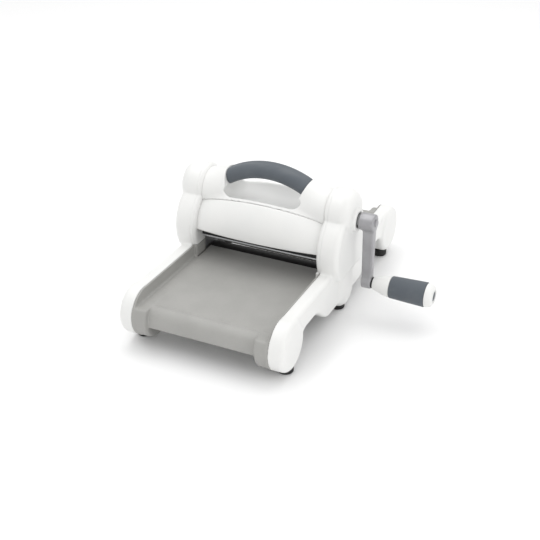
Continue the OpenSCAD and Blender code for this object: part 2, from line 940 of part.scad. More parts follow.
left_side_cover();
right_side_cover();
left_inner_panel();
right_inner_panel();
front_fascia();
rear_fascia();
top_housing();
handle_grip();
front_tray();
rear_tray();
left_side_plate();
right_side_plate();
tie_rods();
tie_rod_nuts();
roller_guards();
guard_strips();
crank_bearing_plate();
plate_spacers();
bearing_plate_screws();
cover_screws();
tray_screws();
rubber_feet();
foot_screws();
roller_bushings();
crank_bushings();
idler_pins();
idler_rings();
upper_roller();
upper_roller_gear();
upper_gear_key();
upper_roller_rings();
lower_roller();
lower_roller_gear();
lower_gear_key();
lower_roller_rings();
idler_gear_a();
idler_gear_b();
crank_shaft();
crank_pinion();
crank_pinion_key();
crank_shaft_ring();
crank_arm();
crank_hub_cap();
handle_spindle();
handle_washer();
spindle_nut();
handle_collar();
handle_sleeve();
handle_end_cap();
handle_end_plug();
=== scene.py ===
# %% [markdown]
# # A hand-cranked die cutting machine, modelled in Blender
#
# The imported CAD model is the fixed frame: it gives every part's place and every moving body.
# This notebook adds what the eye sees. The white covers, the grey trays and the die-cast crank are
# moulded shapes: large soft forms that melt into each other, with small even radii everywhere.
# Boxes and bevels make such shapes badly. They are made here from distance fields instead,
# because two fields can be blended with a radius, which is what a mould maker does with a cutter.

# %% Load the frame
import json
import math

import bpy
import numpy as np
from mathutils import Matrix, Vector


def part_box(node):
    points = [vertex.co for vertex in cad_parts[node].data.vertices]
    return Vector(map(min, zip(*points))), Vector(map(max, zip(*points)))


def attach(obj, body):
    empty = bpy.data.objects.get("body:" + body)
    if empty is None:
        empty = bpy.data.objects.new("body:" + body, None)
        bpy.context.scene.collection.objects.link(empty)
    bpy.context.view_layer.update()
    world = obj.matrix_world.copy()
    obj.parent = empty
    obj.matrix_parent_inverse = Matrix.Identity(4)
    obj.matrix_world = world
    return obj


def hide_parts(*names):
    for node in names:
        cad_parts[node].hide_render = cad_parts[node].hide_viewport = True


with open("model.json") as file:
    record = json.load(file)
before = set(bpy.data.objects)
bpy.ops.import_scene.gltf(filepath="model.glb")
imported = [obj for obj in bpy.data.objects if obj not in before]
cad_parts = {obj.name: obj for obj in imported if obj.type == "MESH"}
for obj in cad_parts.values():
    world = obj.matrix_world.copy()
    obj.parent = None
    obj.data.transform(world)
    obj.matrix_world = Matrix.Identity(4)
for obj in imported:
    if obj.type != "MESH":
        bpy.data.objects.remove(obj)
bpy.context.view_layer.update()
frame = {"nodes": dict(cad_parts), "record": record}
MM = 0.001
print("nodes in the frame:", len(frame["nodes"]))

# %% [markdown]
# ## Where things are
#
# All places come from the frame. The machine's own middle plane is not the middle of the whole
# outline, because the crank sticks out on one side, so the first thing worked out is where that
# plane lies. After this, shapes are drawn in millimetres around the middle plane, with Y to the
# back and Z up, and are moved over by `MID` when they are made into meshes.

# %% Places taken from the frame


def node_box(name):
    """Corners of a CAD node in millimetres, X measured from the machine's middle plane."""
    low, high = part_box(name)
    return np.array(low) / MM - SHIFT, np.array(high) / MM - SHIFT


SHIFT = np.zeros(3)
TRAY_BOX = node_box("front_tray")
MID = (TRAY_BOX[0][0] + TRAY_BOX[1][0]) / 2
SHIFT = np.array([MID, 0.0, 0.0])

SEAM_X = node_box("front_tray")[1][0]
HALF_DEPTH = node_box("right_side_cover")[1][1]
TOWER_X = -node_box("left_side_cover")[0][0]
PANEL_X = node_box("right_inner_panel")[0][0]
MIDDLE_X = PANEL_X + 0.3
CRANK_Z = sum(c[2] for c in node_box("crank_shaft")) / 2
SPINDLE_Z = sum(c[2] for c in node_box("handle_spindle")) / 2
HANDLE_TOP = node_box("handle_grip")[1][2]
print("middle plane at X =", round(MID, 2), "mm; seam at", SEAM_X, "tower at", TOWER_X)
print("crank axis at Z =", round(CRANK_Z, 2), "spindle at", round(SPINDLE_Z, 2))

# %% [markdown]
# ## Distance fields
#
# A distance field is a function that gives, for any point, how far it is from a surface: negative
# inside, positive outside. The union of two shapes is the smaller of their distances. If the
# smaller is taken *softly*, over a width `k`, the two shapes flow into each other with a fillet.
# numpy works the whole grid out at once, so a part takes about a second.

# %% Fields and the ways to join them


def soft_union(a, b, k):
    """The smaller of two distances, blended over a width k."""
    if k <= 0:
        return np.minimum(a, b)
    h = np.clip(k - np.abs(a - b), 0, None) / k
    return np.minimum(a, b) - h * h * k / 4


def soft_cut(a, b, k):
    """Shape a with shape b taken away, the edge between them rounded over a width k."""
    return -soft_union(-a, b, k)


def soft_both(a, b, k):
    """What a and b have in common."""
    return -soft_union(-a, -b, k)


def circle(u, v, cu, cv, r):
    return np.hypot(u - cu, v - cv) - r


def slab(w, low, high):
    """Distance to the space between two planes."""
    return np.maximum(low - w, w - high)


def extrude(outline, w, low, high, edge):
    """An outline's distance, carried along w, with its rims rounded to a radius."""
    a = outline + edge
    b = slab(w, low, high) + edge
    return np.hypot(np.maximum(a, 0), np.maximum(b, 0)) + np.minimum(np.maximum(a, b), 0) - edge


def box(u, v, half_u, half_v, corner):
    """A rounded rectangle in two coordinates, about zero."""
    a = np.abs(u) - half_u + corner
    b = np.abs(v) - half_v + corner
    return np.hypot(np.maximum(a, 0), np.maximum(b, 0)) + np.minimum(np.maximum(a, b), 0) - corner


def polygon(u, v, points):
    """Exact distance to a closed outline of points."""
    p = np.array(points, float)
    best = np.full(u.shape, 1e9)
    sign = np.ones(u.shape)
    for (ax, ay), (bx, by) in zip(p, np.roll(p, 1, axis=0)):
        ex, ey = bx - ax, by - ay
        wx, wy = u - ax, v - ay
        t = np.clip((wx * ex + wy * ey) / (ex * ex + ey * ey), 0, 1)
        best = np.minimum(best, (wx - ex * t) ** 2 + (wy - ey * t) ** 2)
        c1, c2, c3 = v >= ay, v < by, ex * wy > ey * wx
        flip = (c1 & c2 & c3) | (~c1 & ~c2 & ~c3)
        sign = np.where(flip, -sign, sign)
    return sign * np.sqrt(best)


print("soft union of two equal distances over 4 mm:", float(soft_union(1.0, 1.0, 4)))

# %% [markdown]
# ## From a field to a mesh
#
# The field is sampled on a grid. Each cell that the surface passes through gets one vertex, and
# each grid edge that the surface crosses gets one quad, from the four cells round it. This is the
# surface nets method: it gives an even quad mesh. A few Newton steps then slide each vertex along
# the field's gradient onto the true surface, so round parts come out round and not stepped.

# %% Surface nets


def surface_net(field, low, high, step):
    """Vertices in millimetres and quads of the surface where the field is zero."""
    axes = [np.arange(a - step, b + 2 * step, step) for a, b in zip(low, high)]
    grid = np.meshgrid(*axes, indexing="ij")
    values = field(*grid).astype(np.float32)
    inside = values < 0
    corners = [(i, j, k) for i in (0, 1) for j in (0, 1) for k in (0, 1)]
    n = [s - 1 for s in values.shape]

    def part(a, i, j, k):
        return a[i:n[0] + i, j:n[1] + j, k:n[2] + k]

    count = sum(part(inside, *c).astype(np.int8) for c in corners)
    crossed = (count > 0) & (count < 8)
    ids = np.full(crossed.shape, -1, np.int64)
    ids[crossed] = np.arange(crossed.sum())
    at = np.argwhere(crossed)
    total = np.zeros((len(at), 3))
    hits = np.zeros(len(at))
    for a in corners:
        for b in corners:
            if sum(b) - sum(a) != 1 or any(q < p for p, q in zip(a, b)):
                continue
            va = values[tuple((at + a).T)]
            vb = values[tuple((at + b).T)]
            cross = (va < 0) != (vb < 0)
            t = np.where(cross, va / np.where(cross, va - vb, 1), 0)
            point = np.array(a) + t[:, None] * (np.array(b) - np.array(a))
            total += np.where(cross[:, None], point, 0)
            hits += cross
    verts = (at + total / hits[:, None]) * step + np.array([a[0] for a in axes])
    quads = []
    for axis in range(3):
        u, v = (axis + 1) % 3, (axis + 2) % 3
        first = [slice(None)] * 3
        second = [slice(None)] * 3
        first[axis], second[axis] = slice(0, -1), slice(1, None)
        a, b = inside[tuple(first)], inside[tuple(second)]
        for rising in (True, False):
            edge = np.argwhere(a & ~b if rising else ~a & b)
            ok = (edge[:, u] > 0) & (edge[:, v] > 0)
            ok &= (edge[:, u] < n[u]) & (edge[:, v] < n[v])
            edge = edge[ok]
            cells = []
            for du, dv in ((-1, -1), (0, -1), (0, 0), (-1, 0)):
                c = edge.copy()
                c[:, u] += du
                c[:, v] += dv
                cells.append(ids[tuple(c.T)])
            quads.append(np.stack(cells if rising else cells[::-1], axis=1))
    return verts, np.concatenate(quads)


def settle(field, verts, rounds=4, reach=0.02, longest=0.6):
    """Slides vertices onto the field's zero by Newton steps."""
    for _ in range(rounds):
        x, y, z = verts.T
        d = field(x, y, z)
        slope = np.stack([
            field(x + reach, y, z) - field(x - reach, y, z),
            field(x, y + reach, z) - field(x, y - reach, z),
            field(x, y, z + reach) - field(x, y, z - reach),
        ], axis=1) / (2 * reach)
        size = np.maximum((slope ** 2).sum(1), 0.25)
        move = -slope * (d / size)[:, None]
        far = np.linalg.norm(move, axis=1, keepdims=True)
        verts = verts + move * np.minimum(1, longest / np.maximum(far, 1e-9))
    return verts


def to_object(name, verts, faces, smooth=True):
    """A Blender mesh from vertices in millimetres round the middle plane."""
    mesh = bpy.data.meshes.new(name)
    mesh.from_pydata((np.asarray(verts) + SHIFT) * MM, [], [list(map(int, f)) for f in faces])
    mesh.validate()
    mesh.polygons.foreach_set("use_smooth", [smooth] * len(mesh.polygons))
    obj = bpy.data.objects.new(name, mesh)
    bpy.context.scene.collection.objects.link(obj)
    return obj


def moulded(name, field, low, high, step=1.4):
    """Meshes a field and reports the number of faces."""
    step = step * 1.0
    verts, quads = surface_net(field, low, high, step)
    verts = settle(field, verts)
    obj = to_object(name, verts, quads)
    print(f"{name}: {len(verts)} vertices, {len(quads)} quads")
    return obj


# %% [markdown]
# ## Side covers
#
# Each cover is one moulding: a long rail with a round lobe at both ends, an arch under the rail,
# and a tower in the middle. Seen from the side the tower is two stacked lobes, and a rounded
# column stands proud of it and runs down to the middle foot. The outline is drawn once, in Y and
# Z, and carried along X with a rounded outer rim; the lobes and the column are added softly.

# %% Measures of the side covers
LOBE_R = 28.4
LOBE_Y = HALF_DEPTH - LOBE_R
LOBE_Z = 36.4
LOBE_X = 99.0
RAIL_X = 97.0
RAIL_TOP = 64.5
ARCH_Z = 38.0
ARCH_FILLET = 14.0
BASE_Z = 15.0
BASE_Y = 46.0
BASE_RUN = 44.0
LOW_R, LOW_Z, LOW_X = 46.5, 85.0, 104.0
TOP_R, TOP_Z = 26.5, 127.0
COLUMN_W = 22.0
COLUMN_X = TOWER_X - 7.0
COLUMN_FOOT = 27.0
WALL = 2.5
RAIL_EDGE, LOW_EDGE, TOP_EDGE, COLUMN_EDGE = 4.5, 6.0, 12.5, 10.0
LOW_FROM_Z = RAIL_TOP - 9.0
INSIDE_X = -60.0
SEAT_R, SHAFT_HOLE_R = 13.6, 8.6


def rail_points():
    """Half of the rail's outline seen from the side, mirrored to make the whole."""
    drop = LOBE_Z - ARCH_Z + ARCH_FILLET
    reach = LOBE_R + ARCH_FILLET
    fillet_y = LOBE_Y - math.sqrt(reach ** 2 - drop ** 2)
    end = math.pi - math.asin(drop / reach)
    half = [(0.0, BASE_Z)]
    for t in np.linspace(0, 1, 14):
        rise = (ARCH_Z - BASE_Z) * (1 - math.cos(math.pi * t)) / 2
        half.append((BASE_Y + BASE_RUN * t, BASE_Z + rise))
    for t in np.linspace(0, 1, 8):
        a = math.pi / 2 - (end - math.pi / 2) * t
        half.append((fillet_y + ARCH_FILLET * math.cos(a),
                     ARCH_Z - ARCH_FILLET + ARCH_FILLET * math.sin(a)))
    half += [(LOBE_Y, LOBE_Z), (LOBE_Y, RAIL_TOP)]
    return half + [(-y, z) for y, z in reversed(half[1:])]


RAIL_POINTS = rail_points()
print("the rail's outline has", len(RAIL_POINTS), "points")


def cover_field(x, y, z, inset=0.0):
    """The right side cover as one solid form."""
    ay = np.abs(y)
    lobe = circle(ay, z, LOBE_Y, LOBE_Z, LOBE_R)
    rail = soft_union(polygon(y, z, RAIL_POINTS), lobe, 0)
    body = extrude(rail, x, INSIDE_X, RAIL_X, RAIL_EDGE)
    body = soft_union(body, extrude(lobe, x, INSIDE_X, LOBE_X, RAIL_EDGE), 2)
    low = extrude(circle(y, z, 0, LOW_Z, LOW_R), x, INSIDE_X, LOW_X, LOW_EDGE)
    low = np.maximum(low, LOW_FROM_Z - z)
    top = extrude(circle(y, z, 0, TOP_Z, TOP_R), x, INSIDE_X, TOWER_X, TOP_EDGE)
    stem = np.hypot(y, z - np.clip(z, COLUMN_FOOT, TOP_Z)) - COLUMN_W
    column = extrude(stem, x, INSIDE_X, COLUMN_X, COLUMN_EDGE)
    tower = soft_union(low, top, 1.0)
    tower = soft_union(tower, column, 3.5)
    return soft_union(body, tower, 5) + inset


def right_cover(x, y, z):
    """The cover as a shell, open towards the tray."""
    outer = cover_field(x, y, z)
    inner = np.maximum(cover_field(x, y, z, WALL), x - RAIL_X - 20)
    shell = soft_cut(outer, inner, 0.6)
    shell = soft_both(shell, SEAM_X - x, 0.2)
    seat = extrude(circle(y, z, 0, CRANK_Z, SEAT_R), x, TOWER_X - 3, TOWER_X + 2.4, 1.2)
    shell = soft_union(shell, seat, 1.5)
    hole = extrude(circle(y, z, 0, CRANK_Z, SHAFT_HOLE_R), x, 60, 140, 0.5)
    return soft_cut(shell, hole, 0.8)


def left_cover(x, y, z):
    """The left cover is a mirror image, without the crank's seat."""
    outer = cover_field(-x, y, z)
    shell = soft_cut(outer, cover_field(-x, y, z, WALL), 0.6)
    return soft_both(shell, SEAM_X + x, 0.2)


# %% [markdown]
# ## Middle covers
#
# Between the towers two bulged panels, the fascias, close the front and the back, and a top
# housing carries the handle. The fascia's section changes from a small circle at its ends to a
# larger, flatter one in the middle. One function gives the centre and radius of that circle for
# any X, and both the fascias and the housing are cut from the form it makes, so that they match
# along the curved seam. The housing is scooped out under the handle for the fingers.

# %% Measures of the middle covers
END_CIRCLE = (0.0, 84.0, 40.0)
MID_CIRCLE = (10.0, 90.0, 56.0)
SEAM_END, SEAM_MID = 117.5, 128.4
FASCIA_LOW = 85.5
PART_GAP = 0.35
HOUSING_R, HOUSING_Z = 24.0, 125.0
ARCH_R = 98.0
GRIP_W, GRIP_T = 26.0, 17.4
ARCH_CENTRE = HANDLE_TOP - GRIP_T / 2 - ARCH_R
GRIP_FROM, GRIP_TO = -31.0, 28.5


def across(x):
    """0 at the towers and 1 in the middle, eased."""
    return 1 - np.clip(np.abs(x) / MIDDLE_X, 0, 1) ** 2


def front_form(x, y, z, inset=0.0):
    """The bulged front and back of the middle covers, as one form."""
    t = across(x)
    cy, cz, r = (a + (b - a) * t for a, b in zip(END_CIRCLE, MID_CIRCLE))
    return np.hypot(np.abs(y) + cy, z - cz) - r + inset


def seam_height(x):
    return SEAM_END + (SEAM_MID - SEAM_END) * across(x)


def fascia(x, y, z):
    """The front panel."""
    shell = soft_cut(front_form(x, y, z), front_form(x, y, z, WALL), 0.5)
    shell = soft_both(shell, z - seam_height(x) + PART_GAP, 0.9)
    shell = soft_both(shell, FASCIA_LOW - z, 1.6)
    shell = np.maximum(shell, np.abs(x) - MIDDLE_X)
    return np.maximum(shell, y + 12)


def arch_section(x, y, z, w, t, corner):
    """A bar bent round the handle's arch."""
    r = np.hypot(x, z - ARCH_CENTRE) - ARCH_R
    return box(y, r, w / 2, t / 2, corner)


def housing_form(x, y, z, inset=0.0):
    """The top housing, handle roots included, before it is hollowed."""
    bar = np.hypot(y, z - HOUSING_Z) - HOUSING_R
    form = soft_union(bar, front_form(x, y, z), 3)
    roots = arch_section(x, y, z, GRIP_W - 1.2, GRIP_T - 1.2, 8.4)
    return soft_union(form, roots, 16) + inset


SCOOP_R, SCOOP_Z = 34.5, 152.5
SCOOP_FROM, SCOOP_TO = -52.5, 48.5
CORE_W, CORE_T = 17.0, 11.0
PAN_Z = 114.0
HOLLOW_TOP = 138.0
GRIP_CORNER, CORE_CORNER = 8.8, 4.0
TURN_LEFT, TURN_RIGHT = math.radians(17), math.radians(4)
LIP_DEPTH = 0.3


def scoop(x, y, z):
    """The hand space: a long bowl under the handle, open to the front and the back."""
    bowl = extrude(np.hypot(y, np.minimum(z - SCOOP_Z, 0)) - SCOOP_R, x, SCOOP_FROM, SCOOP_TO, 14)
    roof = np.hypot(x, z - ARCH_CENTRE) - ARCH_R + GRIP_T / 2 - 0.5
    return soft_both(bowl, roof, 4)


def past_grip(x, z):
    """How far a point lies beyond the planes that end the grip."""
    left, right = math.radians(GRIP_FROM), math.radians(GRIP_TO)
    lx, lz = ARCH_R * math.sin(left), ARCH_CENTRE + ARCH_R * math.cos(left)
    rx, rz = ARCH_R * math.sin(right), ARCH_CENTRE + ARCH_R * math.cos(right)
    lt, rt = left + TURN_LEFT, right - TURN_RIGHT
    return np.maximum(-(x - lx) * math.cos(lt) + (z - lz) * math.sin(lt),
                      (x - rx) * math.cos(rt) - (z - rz) * math.sin(rt))


def top_housing(x, y, z):
    """Hollow housing with its scoop, its roots and the core of the handle."""
    space = scoop(x, y, z)
    body = soft_cut(housing_form(x, y, z), space, 2.4)
    fascia_zone = np.maximum(z - seam_height(x), -front_form(x, y, z, WALL + PART_GAP))
    body = soft_cut(body, fascia_zone, 0.5)
    body = np.maximum(body, PAN_Z - z)
    hollow = np.maximum(housing_form(x, y, z, WALL), WALL - space)
    body = np.maximum(body, -np.maximum(hollow, z - HOLLOW_TOP))
    body = np.maximum(body, np.abs(x) - MIDDLE_X)
    over = past_grip(x, z)
    radius = np.hypot(x, z - ARCH_CENTRE)
    held = np.maximum(over, ARCH_R - GRIP_T / 2 - radius)
    body = soft_cut(body, held, 0.6)
    core = arch_section(x, y, z, CORE_W, CORE_T, CORE_CORNER)
    return np.minimum(body, np.maximum(core, over - 3))


def handle_grip(x, y, z):
    """The soft grip, a sleeve on the arch's core."""
    sleeve = arch_section(x, y, z, GRIP_W, GRIP_T, GRIP_CORNER)
    sleeve = soft_both(sleeve, past_grip(x, z) + 0.1, 0.9)
    return soft_cut(sleeve, arch_section(x, y, z, CORE_W, CORE_T, CORE_CORNER), 0.4)


def inner_panel(x, y, z, reaches_bed=True):
    """The panel that closes a tower towards the tray, with the slot for the rollers.

    A lip under the cover's skin closes the seam between the two. On the crank side the panel
    reaches down to the bed; on the other side the tray's wall rises to meet it, and its grey there
    is painted shade for the shadow on that tower's inner wall.
    """
    lobes = soft_union(circle(y, z, 0, LOW_Z, LOW_R), circle(y, z, 0, TOP_Z, TOP_R), 1.5)
    form = extrude(lobes, x, PANEL_X, SEAM_X + 30, 5)
    inner = np.maximum(form + WALL, PANEL_X + WALL - x)
    shell = soft_cut(form, inner, 0.5)
    lip = np.maximum(lobes + LIP_DEPTH, -lobes - WALL)
    lip = np.maximum(lip, slab(x, SEAM_X - 3, SEAM_X + 1.5))
    shell = np.minimum(np.maximum(shell, x - SEAM_X), lip)
    shell = soft_both(shell, RAIL_TOP + 0.2 - z, 0.6)
    if reaches_bed:
        shell = np.minimum(shell, tower_foot(x, -np.abs(y), z))
    slot = np.hypot(y, np.maximum(z - TOP_AXIS_Z, 0)) - SLOT_W
    return soft_cut(shell, slot, 1.2)


# %% [markdown]
# ## Trays
#
# A tray is a flat bed with low side walls. Its front edge rolls over into an apron, with a fine
# bead where the roll starts, and at both ends of the apron stands a grey half lobe that finishes
# the white one beside it. The field is drawn for the front tray; the rear one is its mirror.

# %% Measures of the trays
BED_Z = 50.5
BED_END = 6.7
BED_T = 3.0
ROLL_R = 15.5
ROLL_Y = -(LOBE_Y + 7.0)
APRON_Z = 28.8
BEAD_Y = -159.6
LOBE_IN_X = 65.0
THROAT_Y = 41.0
WALL_X = 80.0
SLOT_W = 20.0
PLATE_Y = 36.5
WALL_FOOT_Z = 30.0
ROLLER_ROOM = 0.8
LOW_AXIS_Z = sum(c[2] for c in node_box("lower_roller")) / 2
TOP_AXIS_Z = sum(c[2] for c in node_box("upper_roller")) / 2
ROLLER_R = node_box("upper_roller")[1][2] - TOP_AXIS_Z


def sheet(y, z, inset=0.0):
    """The bed, its rolled edge and the apron, as the outline of all the space under them."""
    flat = z - BED_Z
    roll = circle(y, z, ROLL_Y, BED_Z - ROLL_R, ROLL_R)
    front = np.where(z > BED_Z - ROLL_R, roll, ROLL_Y - ROLL_R - y)
    return np.where(y > ROLL_Y, flat, front) + inset


def bed_plate(y, z):
    """The moulded sheet itself, with a fine groove and bead where the roll starts."""
    outer = soft_cut(sheet(y, z), circle(y, z, BEAD_Y - 2.6, BED_Z + 1.0, 1.7), 1.2)
    outer = soft_union(outer, circle(y, z, BEAD_Y, BED_Z - 0.9, 1.5), 0.8)
    plate = np.maximum(outer, -sheet(y, z, BED_T))
    return np.maximum(np.maximum(plate, y + BED_END), APRON_Z - z)


def tower_foot(ax, y, z):
    """What fills the space under a tower's panel, beside the bed."""
    cheek = np.maximum(slab(ax, PANEL_X, PANEL_X + WALL), slab(y, -THROAT_Y - 1, -SLOT_W))
    joint = np.maximum(slab(ax, PANEL_X, SEAM_X), slab(y, -THROAT_Y - 1, -PLATE_Y))
    return np.maximum(soft_union(cheek, joint, 1.0), slab(z, BED_Z - 1, RAIL_TOP - 0.1))


def tray(x, y, z):
    """The front tray."""
    ax = np.abs(x)
    bed = np.maximum(bed_plate(y, z), ax - SEAM_X)
    lobe = circle(y, z, -LOBE_Y, LOBE_Z, LOBE_R)
    side = np.minimum(polygon(y, z, RAIL_POINTS), lobe)
    wall = np.maximum(side, slab(ax, WALL_X, SEAM_X))
    wall = np.maximum(wall, np.minimum(WALL_FOOT_Z - z, lobe))
    wall = np.maximum(wall, y + THROAT_Y)
    half = np.maximum(extrude(lobe, ax, LOBE_IN_X, SEAM_X + 20, 3.5), ax - SEAM_X)
    half = soft_both(half, z - BED_Z, 1.5)
    inner = np.maximum(extrude(lobe + WALL, ax, LOBE_IN_X + WALL, SEAM_X + 20, 2),
                       z - BED_Z + WALL)
    bed = np.maximum(bed, -inner)
    half = soft_cut(half, np.maximum(inner, ax - WALL_X), 0.5)
    part = soft_union(soft_union(bed, half, 2.0), wall, 3.0)
    throat = np.maximum(PANEL_X - 0.5 - ax, -y - THROAT_Y)
    part = soft_cut(part, throat, 0.8)
    # On the left the tower's foot belongs to the grey tray, not a white panel: painted shade.
    part = np.minimum(part, np.maximum(tower_foot(ax, y, z), x))
    part = soft_both(part, ax - SEAM_X, 0.8)
    return soft_cut(part, circle(y, z, 0, LOW_AXIS_Z, ROLLER_R + ROLLER_ROOM), 0.4)


# %% [markdown]
# ## The crank arm
#
# The arm is a zinc die casting: a round hub on the shaft, a thick bar that tapers towards the
# handle, and a small boss at its end. Casting leaves every edge slightly round.

# %% The arm as a field
HUB_TRIM = 0.8
HUB_X0 = node_box("crank_arm")[0][0]
HUB_X1 = node_box("crank_arm")[1][0]
HUB_R = node_box("crank_arm")[1][1] - HUB_TRIM
ARM_TOP_X0 = HUB_X0 + 4.5
ARM_X0, ARM_X1 = HUB_X0 + 6.0, HUB_X0 + 17.5
ARM_HALF_W = 5.0
SHAFT_R, SPINDLE_R, CAP_SCREW_R, BOSS_R = 7.0, 4.0, 2.5, 7.6
print("hub from", HUB_X0, "to", HUB_X1, "radius", HUB_R)


def crank_arm(x, y, z):
    hub = extrude(circle(y, z, 0, CRANK_Z, HUB_R), x, HUB_X0, HUB_X1, 1.8)
    side = [(ARM_X0, SPINDLE_Z), (ARM_X1, SPINDLE_Z), (HUB_X1 - 0.2, CRANK_Z + 2),
            (ARM_TOP_X0, CRANK_Z + 2)]
    bar = extrude(polygon(x, z, side), y, -ARM_HALF_W, ARM_HALF_W, 1.3)
    boss = extrude(circle(y, z, 0, SPINDLE_Z, BOSS_R), x, ARM_X0, ARM_X1, 1.4)
    arm = soft_union(soft_union(hub, bar, 3), boss, 2)
    arm = np.maximum(arm, -np.maximum(circle(y, z, 0, CRANK_Z, SHAFT_R), x - HUB_X1 + 2))
    arm = np.maximum(arm, -circle(y, z, 0, CRANK_Z, CAP_SCREW_R))
    return np.maximum(arm, -circle(y, z, 0, SPINDLE_Z, SPINDLE_R))


# %% [markdown]
# ## Turned pieces
#
# The crank's handle is round. A round piece is drawn as half of its section, a closed loop of
# points, which is swept about its axis. Arcs in the section are made by a formula, and the number
# of segments is high enough that the outline stays smooth up close.

# %% A sweep about an axis


def arc(u, v, r, start, end, steps=8):
    """Points on an arc, angles in degrees, measured in the section's own two coordinates."""
    turn = [math.radians(start + (end - start) * i / steps) for i in range(steps + 1)]
    return [(u + r * math.cos(a), v + r * math.sin(a)) for a in turn]


def turned(name, section, segments=96):
    """Sweeps (x, radius) points about the handle's spindle."""
    verts, faces = [], []
    count = len(section)
    for i in range(segments):
        a = 2 * math.pi * i / segments
        for x, r in section:
            verts.append((x, r * math.sin(a), SPINDLE_Z + r * math.cos(a)))
        j = (i + 1) % segments
        for k in range(count):
            n = (k + 1) % count
            faces.append((i * count + k, j * count + k, j * count + n, i * count + n))
    obj = to_object(name, verts, faces)
    print(f"{name}: {len(faces)} faces")
    return obj


# %% [markdown]
# ## Feet
#
# Six round rubber pads stand under the lobes and the towers. They are moulded too: short round
# pads with a soft lower edge, cut away where the covers' round undersides come down on them.

# %% The feet as one field
FEET_BOX = node_box("rubber_feet")
FOOT_R = 8.6
FOOT_X, FOOT_Y = FEET_BOX[1][0] - FOOT_R, FEET_BOX[1][1] - FOOT_R
FOOT_TOP = FEET_BOX[1][2]
FOOT_EXTRA = 2.5
print("feet at X", round(FOOT_X, 2), "and Y", round(FOOT_Y, 2))


def feet(x, y, z):
    ax, ay = np.abs(x), np.abs(y)
    across_pad = np.minimum(np.hypot(ax - FOOT_X, ay - FOOT_Y), np.hypot(ax - FOOT_X, y)) - FOOT_R
    pads = extrude(across_pad, z, 0.0, FOOT_TOP + FOOT_EXTRA, 1.6)
    covers = np.minimum(circle(ay, z, LOBE_Y, LOBE_Z, LOBE_R - 0.2),
                        circle(y, z, 0, COLUMN_FOOT, COLUMN_W - 0.2))
    return np.maximum(pads, -covers)


# %% [markdown]
# ## Making the meshes
#
# Each moulded piece stands for one or more CAD nodes. The CAD solids stay in the physics model,
# and the new piece rides on the same body. The grid step is near a millimetre: fine enough for
# the wall's thickness, and the Newton steps take the surface to well under a tenth of that.

# %% Covers and middle pieces


def stand_in(obj, body, slot, *nodes):
    """A piece that replaces CAD nodes and rides on their body."""
    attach(obj, body)
    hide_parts(*nodes)
    return obj


def mirrored(field, axis):
    """The same field on the other side of the middle plane, or at the back."""
    def other(x, y, z):
        return field(-x, y, z) if axis == "x" else field(x, -y, z)
    return other


BODY = "machine_body"
right = moulded("right_cover", right_cover, (78, -182, 4), (112, 182, 155), 1.25)
left = moulded("left_cover", left_cover, (-109, -182, 4), (-78, 182, 155), 1.25)
panel_r = moulded("right_tower_panel", inner_panel, (76, -48, 50), (84, 48, 155), 1.0)
panel_l = moulded("left_tower_panel", lambda x, y, z: inner_panel(-x, y, z, False),
                  (-84, -48, 50), (-76, 48, 155), 1.0)
front = moulded("front_panel", fascia, (-78, -48, 84), (78, -11, 132), 1.1)
back = moulded("back_panel", mirrored(fascia, "y"), (-78, 11, 84), (78, 48, 132), 1.1)
housing = moulded("top_cover", top_housing, (-78, -38, 112), (78, 38, 170), 1.0)
grip = moulded("carry_grip", handle_grip, (-62, -15, 132), (62, 15, 171), 0.9)
tray_f = moulded("tray_front", tray, (-84, -183, 3), (84, -4, 67), 1.25)
tray_r = moulded("tray_rear", mirrored(tray, "y"), (-84, 4, 3), (84, 183, 67), 1.25)
arm = moulded("cast_arm", crank_arm, (110, -12, 34), (132, 12, 132), 0.7)
pads = moulded("foot_pads", feet, (-98, -168, 0), (98, 168, 12), 0.9)
white_pieces = [
    stand_in(right, BODY, "white_plastic", "right_side_cover"),
    stand_in(left, BODY, "white_plastic", "left_side_cover"),
    stand_in(panel_r, BODY, "white_plastic", "right_inner_panel"),
    stand_in(panel_l, BODY, "white_plastic", "left_inner_panel"),
    stand_in(front, BODY, "white_plastic", "front_fascia"),
    stand_in(back, BODY, "white_plastic", "rear_fascia"),
    stand_in(housing, BODY, "white_plastic", "top_housing"),
]
tray_pieces = [
    stand_in(tray_f, BODY, "tray_plastic", "front_tray"),
    stand_in(tray_r, BODY, "tray_plastic", "rear_tray"),
]
rubber_pieces = [stand_in(grip, BODY, "grip_rubber", "handle_grip")]
cast_pieces = [stand_in(arm, "crank", "die_cast", "crank_arm")]
stand_in(pads, BODY, "foot_rubber", "rubber_feet")

# %% [markdown]
# ## The crank handle
#
# A white tapered collar runs on into a tube that the soft sleeve is pushed over, and a domed cap
# closes the end, with a small plug over the screw. Each is a turned piece with its own section.

# %% The handle's pieces
COLLAR_X0 = node_box("handle_collar")[0][0]
SLEEVE_X0, SLEEVE_X1 = (c[0] for c in node_box("handle_sleeve"))
SLEEVE_R = node_box("handle_sleeve")[1][1]
HANDLE_END = node_box("handle_end_cap")[1][0]
BORE_R = SPINDLE_R + 0.05
TUBE_R = 10.0
SLEEVE_R0 = SLEEVE_R - 1.5
COLLAR_R = 7.6
CAP_R = SLEEVE_R - 0.3
PLUG_R = 5.8

COLLAR_LEN = SLEEVE_X0 - COLLAR_X0 - 2.1
SLEEVE_LEN = SLEEVE_X1 - SLEEVE_X0 - 2.0
CAP_LEN = HANDLE_END - SLEEVE_X1 - 1.4

